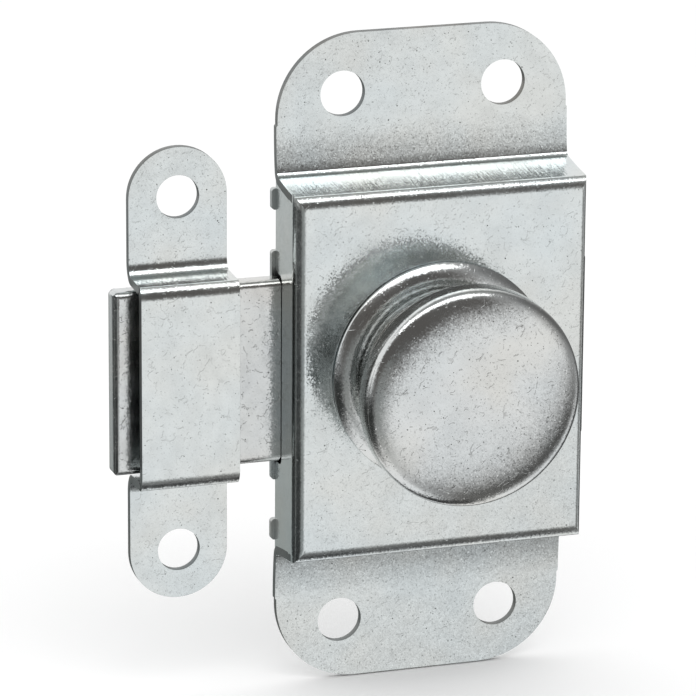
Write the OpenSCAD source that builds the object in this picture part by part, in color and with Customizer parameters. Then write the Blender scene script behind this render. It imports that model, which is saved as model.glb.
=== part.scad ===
// Surface bolt turned by a round knob, with its keeper strap.
// The knob turns a crank, and the crank's roller slides a flat bolt to and fro.
// The origin lies on the knob's axis, where it meets the door.
// +Z is up, +X is to the right as seen from the front, and the front faces -Y.

/* [Case] */
// Height of the case over both flanges
lock_h = 80; // [76:1:100]
// Width of the flanges
flange_w = 36; // [36:1:44]
// Radius of the flange corners
flange_r = 10; // [4:1:14]
// How far each side wall stands out past the flange edge
box_proud = 0.15; // [0:0.05:0.4]
// Height of the raised box at its front face
box_h = 44.9; // [42:0.1:50]
// Depth of the case from the door to its front face
case_d = 8.6; // [8.6:0.1:12]
// Thickness of the sheet in the case and the keeper
sheet_t = 1; // [0.8:0.05:1.1]
// Inside radius of the bends along the front face
bend_in = 0.1; // [0.05:0.05:0.4]
// Radius in the corner between an end wall and its flange
root_r = 0.6; // [0.3:0.1:1.2]
// Lean of the end walls away from square, in degrees
end_lean = 12; // [8:1:20]
// Width of the open slit between a side wall and an end wall
slit_w = 0.15; // [0.1:0.05:0.4]

/* [Screw holes] */
// Distance between the case screws across the case
screw_dx = 20; // [16:0.5:24]
// Distance between the case screws up the case
screw_dz = 65.5; // [62:0.5:68]
// Diameter of the case screw holes
screw_d = 5.5; // [4:0.1:6]

/* [Back plate] */
// Thickness of the back plate
plate_t = 0.8; // [0.6:0.05:0.9]
// How far the back plate stops short of the flanges
plate_short = 1.85; // [1.6:0.05:3]
// How far the plate's lugs show past the side walls
lug_proud = 0.45; // [0.2:0.05:0.8]
// How far the long middle lug runs past the bolt's slot
lug_over = 1.6; // [0.8:0.1:2]
// Height of each short end lug
end_lug = 2.6; // [1.5:0.1:3]
// How far a crimped tab leans in under the plate
crimp_in = 0.4; // [0.2:0.05:0.5]

/* [Bolt] */
// Length of the bolt
bolt_len = 59; // [56:0.5:66]
// Height of the bolt
bolt_h = 22.5; // [20:0.5:23.5]
// Thickness of the bolt
bolt_t = 2.2; // [1.8:0.1:2.3]
// Distance from the knob's axis to the tip when the bolt is thrown
tip_x = 38.7; // [37:0.1:42]
// Radius along the bolt's front edges
bolt_r = 0.8; // [0.3:0.1:1]
// Gap between the back plate and the bolt
slide_gap = 0.2; // [0.15:0.05:0.25]
// Gap between the bolt and the front of its slots
slot_gap = 0.2; // [0.15:0.05:0.4]
// Gap above and below the bolt in its slots
slot_side = 0.45; // [0.25:0.05:0.6]
// Radius in the corners of the slots
slot_r = 0.9; // [0.4:0.1:1.2]

/* [Crank] */
// Travel of the bolt
throw = 17; // [15:0.1:17.2]
// Turn of the knob from one end of the travel to the other
turn = 90; // [80:1:100]
// Diameter of the roller on the crank
roller_d = 5; // [4.4:0.1:5.4]
// Diameter of the crank pin
pin_d = 3; // [2.4:0.1:3.4]
// Thickness of the fork plate on the bolt
fork_t = 1; // [0.8:0.05:1.1]
// Gap between the roller and each side of the fork
fork_play = 0.45; // [0.42:0.01:0.6]
// Gap between the fork and the side wall at each end of the travel
stop_gap = 0.25; // [0.15:0.05:0.5]
// Gap between flat pieces that turn or slide past each other
face_gap = 0.4; // [0.3:0.05:0.45]
// Diameter of the rivets in the fork
fork_rivet_d = 2.2; // [1.6:0.1:2.4]

/* [Spindle] */
// Diameter of the spindle
spindle_d = 6; // [5:0.1:6.4]
// Side of the square at the spindle's inner end
square_s = 4; // [3.2:0.1:4.2]
// Radial clearance of the spindle in its bush
run_fit = 0.05; // [0.02:0.01:0.09]
// Radial clearance round pieces that are fixed in a hole
fixed_fit = 0.05; // [0.03:0.01:0.08]
// Wall of the bush round the spindle
bush_wall = 1.9; // [1.4:0.1:2.2]
// Thickness of the bush's outer flange
bush_flange = 0.7; // [0.5:0.05:0.8]
// Thickness of the thrust washer under the knob
washer_t = 0.4; // [0.3:0.05:0.5]

/* [Knob] */
// Diameter of the knob's foot
foot_d = 27; // [26:0.1:28]
// Diameter of the knob's head
head_d = 26.5; // [25.6:0.1:28]
// Height of the knob above the case
knob_h = 12.9; // [12.4:0.1:15]
// Height of the rounded bead round the foot
foot_bead = 1.5; // [1.2:0.1:1.8]
// Height of the back of the head above the case
head_back = 8.5; // [8:0.1:9.2]
// Height of the upright band round the head
head_band = 1.8; // [1.6:0.1:2.2]
// Rise of the crown over the middle of the head
crown_rise = 0.4; // [0.2:0.1:0.8]
// Thickness of the pressed sheet of the knob
shell_t = 0.8; // [0.6:0.05:0.9]
// Gap between the knob's foot and the case
foot_gap = 0.25; // [0.2:0.05:0.4]

/* [Keeper] */
// Distance from the knob's axis to the middle of the keeper
keeper_x = 30.2; // [29:0.1:31]
// Width of the keeper
keeper_w = 12; // [10:0.5:12.5]
// Height of the keeper
keeper_h = 55.5; // [53:0.5:64]
// Distance between the keeper's screws
keeper_dz = 43.5; // [41:0.5:45]
// Diameter of the keeper's screw holes
keeper_hole_d = 5.2; // [4:0.1:5.6]
// Depth of the keeper from the door to its front face
keeper_d = 6.4; // [5.6:0.1:8]
// Lean of the keeper's sloping ends, in degrees
keeper_lean = 10; // [6:1:16]
// Gap between the keeper and the bolt's top and bottom edges
keeper_play = 0.25; // [0.2:0.05:0.5]

/* [Detent] */
// Thickness of the leaf spring
leaf_t = 0.4; // [0.3:0.05:0.5]
// Width of the leaf spring across the bolt's edge
leaf_w = 1.7; // [1.2:0.1:1.8]
// Radius of the bump that drops into the bolt's notches
bump_r = 1.3; // [1:0.1:1.5]
// How far the bump reaches into the bolt
bump_in = 0.6; // [0.4:0.05:0.8]
// Gap between the leaf and the bolt
leaf_gap = 0.3; // [0.25:0.05:0.4]
// Diameter of the rivets that hold the leaf
leaf_rivet_d = 2; // [1.6:0.1:2.4]

/* [Hidden] */
$fn = 96;

zinc = [0.80, 0.83, 0.83];
bolt_zinc = [0.76, 0.77, 0.78];
dark_steel = [0.50, 0.52, 0.54];
spring_blue = [0.38, 0.42, 0.50];
brass = [0.78, 0.66, 0.38];

// Spare length by which a cutting shape runs past what it cuts
past = 1;
// Overlap that joins two shapes of one piece
lap = 0.01;
// Gap between fixed pieces that lie against each other
seat_gap = 0.05;

// Case
case_w = flange_w + 2 * box_proud;
wall_in = case_w / 2 - sheet_t;
bend_out = bend_in + sheet_t;
face_half = box_h / 2 - bend_out;
end_turn = 90 - end_lean;
flange_start = face_half + fold_reach(case_d, end_turn);
face_back = case_d - sheet_t;

// Back plate: its gap inside the side walls, its corners and where its lugs lie
plate_side = 0.1;
plate_r = 1;
lug_r = 0.4;
lug_inset = 0.7;
wall_back = plate_t + seat_gap;
plate_half = flange_start - plate_short;
end_lug_top = plate_half - lug_inset;

// Crimped tabs, each in the middle of the room between two lugs
mid_lug = bolt_h / 2 + slot_side + slot_r + lug_over;
crimp_h = end_lug_top - end_lug - mid_lug - 4 * plate_side;
crimp_mid = (mid_lug + end_lug_top - end_lug) / 2;
crimp_root = 0.3;

// Bolt
bolt_back = plate_t + slide_gap;
bolt_front = bolt_back + bolt_t;
bolt_corner_r = 0.7;
slot_half = bolt_h / 2 + slot_side;
slot_front = bolt_front + slot_gap;

// Crank, with its pin at the upper left when the bolt is thrown
crank_r = throw / 2 / sin(turn / 2);
pin_x = -throw / 2;
pin_z = crank_r * cos(turn / 2);
bush_stake_t = 0.7;
spring_room = 0.7;
arm_back = bolt_front + fork_t + face_gap;
arm_front = face_back - bush_stake_t - spring_room;
arm_hub_r = 5;
arm_eye_w = 1.9;
arm_eye_r = pin_d / 2 + arm_eye_w;
pin_foot_t = 0.4;
pin_head_h = 0.6;
pin_head_w = 0.8;
pin_head_r = pin_d / 2 + pin_head_w;
roller_gap = 0.05;

// Fork: its opening, its outline and its rivets
fork_front = bolt_front + fork_t;
fork_web = 1.9;
fork_short = 0.3;
fork_corner_r = 1;
fork_slot = roller_d / 2 + fork_play;
fork_half = wall_in - throw / 2 - stop_gap;
fork_top = crank_r + roller_d / 2 - fork_short;
fork_bottom = pin_z - fork_slot - fork_web;
fork_rivet_dx = (fork_slot + fork_half) / 2;
fork_rivet_drop = 1.2;
fork_sink = 0.5;

// Spindle and its bearing
bush_r = spindle_d / 2 + run_fit + bush_wall;
bush_flange_w = 1.6;
bush_stake_w = 0.7;
bush_end = arm_front + spring_room;
thrust_w = 1.2;
thrust_back = case_d + bush_flange + seat_gap;
cone_t = 0.3;
peen_h = 0.6;
peen_w = 0.1;
peen_r = square_s * sqrt(2) / 2 + peen_w;

// Knob, measured from the door
foot_ring = foot_d / 2 - foot_bead;
head_back_z = case_d + head_back;
lip_thin = 0.2;
lip_t = shell_t - lip_thin;
cap_gap = 0.1;
cove_low = case_d + foot_bead;
cove_high = head_back_z + lip_t;
cove_r = (cove_high - cove_low) / 2;
cove_z = (cove_high + cove_low) / 2;
rim_top = head_back_z + head_band;
knob_top = case_d + knob_h;
shoulder_r = knob_top - crown_rise - rim_top;
crown_edge = head_d / 2 - shoulder_r;
crown_r = (crown_edge * crown_edge + crown_rise * crown_rise) / 2 / crown_rise;
stem_r = foot_ring - cove_r - shell_t - fixed_fit;
washer_play = 0.1;
core_inset = 0.4;
core_back = thrust_back + washer_t + washer_play;
core_head = cove_high + shell_t;
core_head_r = crown_edge - core_inset;
core_top = knob_top - crown_rise - shell_t - cap_gap;
spindle_short = 0.3;
cross_pin_d = 2;
cross_pin_short = 0.3;

// Keeper
keeper_turn = 90 - keeper_lean;
keeper_slope = (keeper_d - sheet_t - bend_in * (1 - cos(keeper_turn)) - bolt_front) / tan(keeper_turn);
keeper_flat = bolt_h / 2 + keeper_play - bend_in * sin(keeper_turn) - keeper_slope;

// Detent: the leaf's ends, its riveted foot and the notches in the bolt
leaf_top = -bolt_h / 2 - leaf_gap;
leaf_low = leaf_top - leaf_t;
leaf_left = -14.5;
leaf_right = 7;
leaf_lift = 0.1;
foot_len = 8;
foot_drop = 5;
foot_front = plate_t + leaf_t;
bump_z = -bolt_h / 2 + bump_in - bump_r;
notch_gap = 0.2;
leaf_rivet_drop = 2.6;
leaf_rivet_h = 0.6;

// Distance that a fold from one level down to a flange takes up along the sheet
function fold_reach(high, bend) =
    (bend_out + root_r) * sin(bend) + fold_slope(high, bend) * cos(bend);
// Length of the straight slope between the two bends of such a fold
function fold_slope(high, bend) =
    (high - sheet_t - (bend_out + root_r) * (1 - cos(bend))) / sin(bend);

// Stands a shape up: drawn x stays X, drawn y becomes Z and drawn z comes to the front
module upright() {
    rotate([90, 0, 0]) children();
}

// Runs a flat outline, drawn as height and depth, across the lock
module across(length) {
    rotate([90, 0, 90]) linear_extrude(length, center = true) children();
}

// Runs a flat outline, drawn as width and depth, up the lock
module along(length) {
    rotate([90, 0, 0]) linear_extrude(length, center = true) children();
}

module slab(from, to) {
    translate([0, 0, from]) linear_extrude(to - from) children();
}

module rod(r, from, to) {
    translate([0, 0, from]) cylinder(r = r, h = to - from);
}

module both_ends() {
    children();
    mirror([0, 1, 0]) children();
}

module both_sides() {
    children();
    mirror([1, 0, 0]) children();
}

module ring_part(r_in, r_out, from, to) {
    far = 3 * r_out;
    middle = (from + to) / 2;
    difference() {
        intersection() {
            circle(r_out);
            polygon([[0, 0],
                     [far * cos(from), far * sin(from)],
                     [far * cos(middle), far * sin(middle)],
                     [far * cos(to), far * sin(to)]]);
        }
        circle(r_in);
    }
}

// A strip of sheet seen from its edge. Each step is a straight length, the turn
// after it in degrees, left when positive, and that bend's inside radius.
module folded(steps, i = 0) {
    if (i < len(steps)) {
        go = steps[i][0];
        bend = steps[i][1];
        r = steps[i][2];
        left = bend > 0;
        square([go, sheet_t]);
        if (bend != 0) {
            translate([go, left ? sheet_t + r : -r]) {
                ring_part(r, r + sheet_t, left ? -90 : 90 + bend, left ? -90 + bend : 90);
                rotate(bend)
                    translate([0, left ? -sheet_t - r : r])
                        folded(steps, i + 1);
            }
        }
    }
}

// Raised strap from its middle out to one flange, as height and depth
module joggle(flat, high, bend, half) {
    flange = half - flat - fold_reach(high, bend);
    translate([0, high - sheet_t])
        folded([[flat, -bend, bend_in], [fold_slope(high, bend), bend, root_r], [flange, 0, 0]]);
}

module round_box(w, h, r) {
    square([w - 2 * r, h], center = true);
    square([w, h - 2 * r], center = true);
    for (x = [-1, 1], y = [-1, 1])
        translate([x * (w / 2 - r), y * (h / 2 - r)]) circle(r);
}

// Block with rounded front edges, as width and depth
module round_front(w, back, front, r) {
    translate([-w / 2, back]) square([w, front - back - r]);
    translate([-w / 2 + r, back]) square([w - 2 * r, front - back]);
    for (x = [-1, 1])
        translate([x * (w / 2 - r), front - r]) circle(r);
}

// Outline of the bolt's slot in a side wall, as height and depth
module bolt_slot() {
    difference() {
        union() {
            translate([-slot_half, -past]) square([2 * slot_half, slot_front - slot_r + past]);
            translate([-slot_half + slot_r, -past])
                square([2 * (slot_half - slot_r), slot_front + past]);
            for (y = [-1, 1])
                translate([y * (slot_half - slot_r), slot_front - slot_r]) circle(slot_r);
            translate([-slot_half - slot_r, -past])
                square([2 * (slot_half + slot_r), wall_back + slot_r + past]);
        }
        for (y = [-1, 1])
            translate([y * (slot_half + slot_r), wall_back + slot_r]) circle(slot_r);
    }
}

// Outline of a side wall, as height and depth, with its ends beside the end walls
module wall_outline() {
    top = face_back - bend_in * (1 - cos(end_turn));
    lean = 1 / tan(end_turn);
    edge = face_half + bend_in * sin(end_turn) - slit_w / sin(end_turn);
    low = edge + (top - wall_back) * lean;
    high = edge + (top - case_d) * lean;
    difference() {
        polygon([[-low, wall_back], [low, wall_back], [high, case_d], [-high, case_d]]);
        bolt_slot();
    }
}

// Side wall folded back from the face, with two tabs crimped in under the back plate
module side_wall() {
    face_lap = 1;
    intersection() {
        along(2 * flange_start)
            translate([case_w / 2 - bend_out - face_lap, face_back])
                folded([[face_lap, -90, bend_in], [case_d - bend_out - wall_back, 0, 0]]);
        across(case_w + past) wall_outline();
    }
    both_ends()
        translate([0, crimp_mid, 0])
            along(crimp_h)
                polygon([[case_w / 2, wall_back + crimp_root], [wall_in, wall_back + crimp_root],
                         [wall_in, wall_back], [wall_in - crimp_in, 0],
                         [case_w / 2 - crimp_in, 0], [case_w / 2, wall_back]]);
}

module screw_holes() {
    for (x = [-1, 1], y = [-1, 1])
        translate([x * screw_dx / 2, y * screw_dz / 2, -past])
            cylinder(d = screw_d, h = sheet_t + 2 * past);
}

module case_shell() {
    color(zinc) upright() difference() {
        union() {
            intersection() {
                across(case_w)
                    both_sides() joggle(face_half, case_d, end_turn, lock_h / 2);
                union() {
                    slab(0, sheet_t + root_r) round_box(flange_w, lock_h, flange_r);
                    along(2 * flange_start) round_front(case_w, 0, case_d, bend_out);
                }
            }
            both_sides() side_wall();
        }
        screw_holes();
        rod(bush_r + fixed_fit, face_back - past, case_d + past);
    }
}

// Places of the two rivets through the leaf spring's foot
module leaf_rivet_places() {
    for (x = [0.25, 0.75])
        translate([leaf_left + x * foot_len, leaf_low - leaf_rivet_drop, 0]) children();
}

module back_plate() {
    edge = wall_in - plate_side;
    color(dark_steel) upright() difference() {
        slab(0, plate_t) {
            round_box(2 * edge, 2 * plate_half, plate_r);
            round_box(case_w + 2 * lug_proud, 2 * mid_lug, lug_r);
            both_ends() translate([0, end_lug_top - end_lug / 2])
                round_box(case_w + 2 * lug_proud, end_lug, lug_r);
        }
        both_sides() both_ends() translate([0, crimp_mid, 0]) along(crimp_h + 2 * plate_side)
            polygon([[case_w, -past], [edge - crimp_in, -past],
                     [edge - crimp_in, 0], [edge, wall_back],
                     [case_w, wall_back]]);
        leaf_rivet_places() rod(leaf_rivet_d / 2 + fixed_fit, -past, plate_t + past);
    }
}

module keeper_strap() {
    color(zinc) upright() translate([-keeper_x, 0, 0]) difference() {
        intersection() {
            across(keeper_w)
                both_sides() joggle(keeper_flat, keeper_d, keeper_turn, keeper_h / 2);
            slab(0, keeper_d) round_box(keeper_w, keeper_h, keeper_w / 2 - lap);
        }
        both_ends()
            translate([0, keeper_dz / 2, -past])
                cylinder(d = keeper_hole_d, h = sheet_t + 2 * past);
    }
}

// Bush staked into the case's face
module spindle_bush() {
    color(brass) upright() difference() {
        union() {
            rod(bush_r, bush_end, case_d + bush_flange);
            rod(bush_r + bush_flange_w, case_d, case_d + bush_flange);
            rod(bush_r + bush_stake_w, bush_end, face_back);
        }
        rod(spindle_d / 2 + run_fit, bush_end - past, case_d + bush_flange + past);
    }
}

module thrust_washer() {
    color(brass) upright() difference() {
        rod(bush_r + thrust_w, thrust_back, thrust_back + washer_t);
        rod(spindle_d / 2 + run_fit, thrust_back - past, thrust_back + washer_t + past);
    }
}

// Conical washer that presses the crank arm back from the bush
module spring_washer() {
    low = arm_front + seat_gap;
    high = bush_end - seat_gap;
    r_in = spindle_d / 2 + run_fit;
    r_out = bush_r + bush_stake_w;
    color(spring_blue) upright() rotate_extrude()
        polygon([[r_in, low], [r_out, high - cone_t], [r_out, high], [r_in, low + cone_t]]);
}

// Detent notches for the two ends of the travel, as seen from the front
module detent_notches(r) {
    for (x = [0, -throw])
        translate([x, bump_z]) circle(r);
}

// Opening for the roller, as seen from the front
module fork_opening() {
    translate([pin_x, pin_z]) {
        circle(fork_slot);
        translate([-fork_slot, 0]) square([2 * fork_slot, bolt_h]);
    }
}

module fork_rivet_places() {
    for (x = [-1, 1])
        translate([pin_x + x * fork_rivet_dx, pin_z - fork_rivet_drop, 0]) children();
}

// Rod that widens into a countersunk head at both ends
module countersunk(r, back, front, sink) {
    rod(r, back, front);
    translate([0, 0, back]) cylinder(r1 = r + sink, r2 = r, h = sink);
    translate([0, 0, front - sink]) cylinder(r1 = r, r2 = r + sink, h = sink);
}

// Flat bolt, open for the roller above its middle and notched along its lower edge
module bolt_bar() {
    middle = -tip_x + bolt_len / 2;
    color(bolt_zinc) upright() difference() {
        intersection() {
            translate([middle, 0, 0])
                along(bolt_h) round_front(bolt_len, bolt_back, bolt_front, bolt_r);
            translate([middle, 0, 0])
                across(bolt_len) round_front(bolt_h, bolt_back, bolt_front, bolt_r);
            slab(bolt_back, bolt_front)
                translate([middle, 0]) round_box(bolt_len, bolt_h, bolt_corner_r);
        }
        slab(bolt_back - past, bolt_front + past) {
            fork_opening();
            detent_notches(bump_r + notch_gap);
        }
        fork_rivet_places()
            countersunk(fork_rivet_d / 2 + fixed_fit, bolt_back, fork_front, fork_sink);
    }
}

module driver_fork() {
    color(dark_steel) upright() difference() {
        slab(bolt_front, fork_front) difference() {
            translate([pin_x, (fork_top + fork_bottom) / 2])
                round_box(2 * fork_half, fork_top - fork_bottom, fork_corner_r);
            fork_opening();
        }
        fork_rivet_places()
            countersunk(fork_rivet_d / 2 + fixed_fit, bolt_back, fork_front, fork_sink);
    }
}

module fork_rivets() {
    color(zinc) upright() fork_rivet_places()
        countersunk(fork_rivet_d / 2, bolt_back, fork_front, fork_sink - fixed_fit);
}

// Leaf spring: an upright leaf with its bump, and a foot riveted to the back plate
module detent_spring() {
    bump_half = sqrt(bump_r * bump_r - pow(leaf_top - bump_z, 2));
    leaf_back = foot_front + leaf_lift;
    color(spring_blue) upright() difference() {
        union() {
            slab(leaf_back, leaf_back + leaf_w) {
                translate([leaf_left, leaf_low]) square([-bump_half - leaf_left, leaf_t]);
                translate([bump_half, leaf_low]) square([leaf_right - bump_half, leaf_t]);
                difference() {
                    translate([0, bump_z]) circle(bump_r);
                    translate([0, bump_z]) circle(bump_r - leaf_t);
                    translate([-2 * bump_r, leaf_low - 4 * bump_r]) square(4 * bump_r);
                }
            }
            slab(plate_t, leaf_back + leaf_lift)
                translate([leaf_left, leaf_low]) square([foot_len, leaf_t]);
            slab(plate_t, foot_front)
                translate([leaf_left, leaf_low - foot_drop]) square([foot_len, foot_drop + leaf_t]);
        }
        leaf_rivet_places() rod(leaf_rivet_d / 2 + fixed_fit, plate_t - past, foot_front + past);
    }
}

module spring_rivets() {
    color(zinc) upright() leaf_rivet_places() {
        rod(leaf_rivet_d / 2, 0, foot_front);
        translate([0, 0, foot_front])
            cylinder(r1 = leaf_rivet_d * 0.85, r2 = leaf_rivet_d / 2, h = leaf_rivet_h);
    }
}

// Domed cap whose rim is rolled in behind the shell's flange
module knob_cap() {
    r = head_d / 2;
    color(zinc) upright() rotate_extrude() {
        translate([crown_edge, rim_top]) ring_part(shoulder_r - shell_t, shoulder_r, 0, 90);
        translate([r - shell_t, head_back_z]) square([shell_t, head_band]);
        translate([foot_ring, head_back_z]) square([r - foot_ring - cap_gap, lip_t]);
        intersection() {
            difference() {
                translate([0, knob_top - crown_r]) circle(crown_r, $fn = 360);
                translate([0, knob_top - crown_r]) circle(crown_r - shell_t, $fn = 360);
            }
            translate([0, core_top - cap_gap]) square([crown_edge, crown_rise + shell_t + past]);
        }
    }
}

// Foot bead, hollow neck and back flange, drawn from one pressing
module knob_shell() {
    color(zinc) upright() rotate_extrude() {
        difference() {
            translate([foot_ring, case_d]) ring_part(foot_bead - shell_t, foot_bead, 0, 90);
            translate([foot_ring, case_d - past]) square([foot_d, past + foot_gap]);
        }
        translate([foot_ring, cove_z]) ring_part(cove_r, cove_r + shell_t, 90, 270);
        translate([foot_ring, cove_high])
            square([head_d / 2 - shell_t - cap_gap - foot_ring, shell_t]);
    }
}

// Hole for the cross pin through the knob's core and the spindle
module cross_hole(length) {
    translate([0, 0, cove_z]) rotate([0, 90, 0])
        cylinder(d = cross_pin_d + 2 * fixed_fit, h = length, center = true);
}

// Turned plug that fills the neck, carries the cap and grips the spindle
module knob_core() {
    color(dark_steel) upright() difference() {
        union() {
            rod(stem_r, core_back, core_head + fixed_fit);
            rod(core_head_r, core_head + fixed_fit, core_top);
        }
        rod(spindle_d / 2 + fixed_fit, core_back - past, core_head);
        cross_hole(2 * stem_r + past);
    }
}

module knob_pin() {
    color(zinc) upright() translate([0, 0, cove_z]) rotate([0, 90, 0])
        cylinder(d = cross_pin_d, h = 2 * (stem_r - cross_pin_short), center = true);
}

// Round shaft with a square for the crank arm and a peened end behind it
module spindle() {
    color(dark_steel) upright() difference() {
        union() {
            rod(spindle_d / 2, arm_front, core_head - spindle_short);
            slab(arm_back - lap, arm_front + lap)
                rotate(45) square(square_s, center = true);
            translate([0, 0, arm_back - peen_h])
                cylinder(r1 = peen_r * 0.8, r2 = peen_r, h = peen_h);
        }
        cross_hole(spindle_d + past);
    }
}

// Flat tangent link between a hub and an eye, as seen from the front
module link_outline(r1, r2, length) {
    a = acos((r1 - r2) / length);
    circle(r1);
    translate([length, 0]) circle(r2);
    polygon([[r1 * cos(a), r1 * sin(a)], [r1 * cos(a), -r1 * sin(a)],
             [length + r2 * cos(a), -r2 * sin(a)], [length + r2 * cos(a), r2 * sin(a)]]);
}

module crank_arm() {
    color(dark_steel) upright() rotate(90 + turn / 2) difference() {
        slab(arm_back, arm_front) link_outline(arm_hub_r, arm_eye_r, crank_r);
        slab(arm_back - past, arm_front + past)
            rotate(45 - turn / 2) square(square_s + 2 * fixed_fit, center = true);
        translate([crank_r, 0, 0]) rod(pin_d / 2 + fixed_fit, arm_back - past, arm_front + past);
    }
}

// Pin with a flange that keeps the roller on and a head riveted over the arm
module crank_pin() {
    color(zinc) upright() translate([pin_x, pin_z, 0]) {
        rod(pin_d / 2, bolt_back, arm_front);
        rod(roller_d / 2 - fork_short, bolt_back, bolt_back + pin_foot_t);
        translate([0, 0, arm_front])
            cylinder(r1 = pin_head_r, r2 = pin_head_r - pin_head_h, h = pin_head_h);
    }
}

module crank_roller() {
    back = bolt_back + pin_foot_t + roller_gap;
    front = arm_back - 2 * roller_gap;
    color(brass) upright() translate([pin_x, pin_z, 0]) difference() {
        rod(roller_d / 2, back, front);
        rod(pin_d / 2 + run_fit, back - past, front + past);
    }
}

case_shell();
back_plate();
keeper_strap();
spindle_bush();
thrust_washer();
spring_washer();
detent_spring();
spring_rivets();
bolt_bar();
driver_fork();
fork_rivets();
knob_cap();
knob_shell();
knob_core();
knob_pin();
spindle();
crank_arm();
crank_pin();
crank_roller();
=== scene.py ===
"""Looks of a surface bolt with a round knob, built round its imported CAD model.

Sizes are in millimetres, drawn as in the CAD source: x to the right, y up and z out from the
door. A finished mesh is stood up and scaled to metres once, when its piece is made.
"""

import logging
import math
from dataclasses import dataclass, field
from enum import Enum
from typing import Any, Optional, Sequence

import bmesh
import bpy
from mathutils import Matrix, Vector


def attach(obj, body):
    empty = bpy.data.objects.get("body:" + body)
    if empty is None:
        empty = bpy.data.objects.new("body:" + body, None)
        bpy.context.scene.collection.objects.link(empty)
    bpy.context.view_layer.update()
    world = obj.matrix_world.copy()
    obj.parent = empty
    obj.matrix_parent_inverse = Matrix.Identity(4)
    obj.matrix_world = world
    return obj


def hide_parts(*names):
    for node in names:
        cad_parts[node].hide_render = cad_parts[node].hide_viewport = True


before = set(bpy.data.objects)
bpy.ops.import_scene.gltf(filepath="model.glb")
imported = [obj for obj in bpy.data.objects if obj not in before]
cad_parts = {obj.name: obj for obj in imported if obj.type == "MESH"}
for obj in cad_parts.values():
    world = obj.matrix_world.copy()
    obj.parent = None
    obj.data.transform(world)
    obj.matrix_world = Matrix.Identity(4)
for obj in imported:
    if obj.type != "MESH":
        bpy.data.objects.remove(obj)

LOG = logging.getLogger("lock")
MM = 0.001
STAND_UP = Matrix.Rotation(math.radians(90), 4, "X") @ Matrix.Scale(MM, 4)
# In millimetres: two points this close are one, and a point this close to a level or a line
# lies on it.
SAME_POINT, ON_LEVEL, ON_LINE = 0.0005, 0.001, 0.0001
# Two faces that turn less than this are parts of one flat.
FLAT_TURN = math.radians(1)
WHITE = (1.0, 1.0, 1.0, 1.0)

Colour = tuple[float, float, float]


class Marks(Enum):
    """Tool marks that a finish can carry, each with the number of them in a metre."""

    NONE = 0.0
    DRAWN = 3900.0
    GROUND = 3000.0
    TURNED = 5000.0


def add_object(name: str, data: bpy.types.ID) -> bpy.types.Object:
    """Makes an object and puts it in the scene.

    Args:
        name: Its name.
        data: The mesh, lamp or camera that it shows.

    Returns:
        The object, at the origin.
    """
    obj = bpy.data.objects.new(name, data)
    bpy.context.scene.collection.objects.link(obj)
    return obj


def add_mesh(name: str, bm: bmesh.types.BMesh) -> bpy.types.Object:
    """Makes an object of a finished bmesh, and frees the bmesh.

    Args:
        name: Name of the mesh and the object.
        bm: The bmesh.

    Returns:
        The object, at the origin.
    """
    mesh = bpy.data.meshes.new(name)
    bm.to_mesh(mesh)
    bm.free()
    return add_object(name, mesh)


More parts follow.
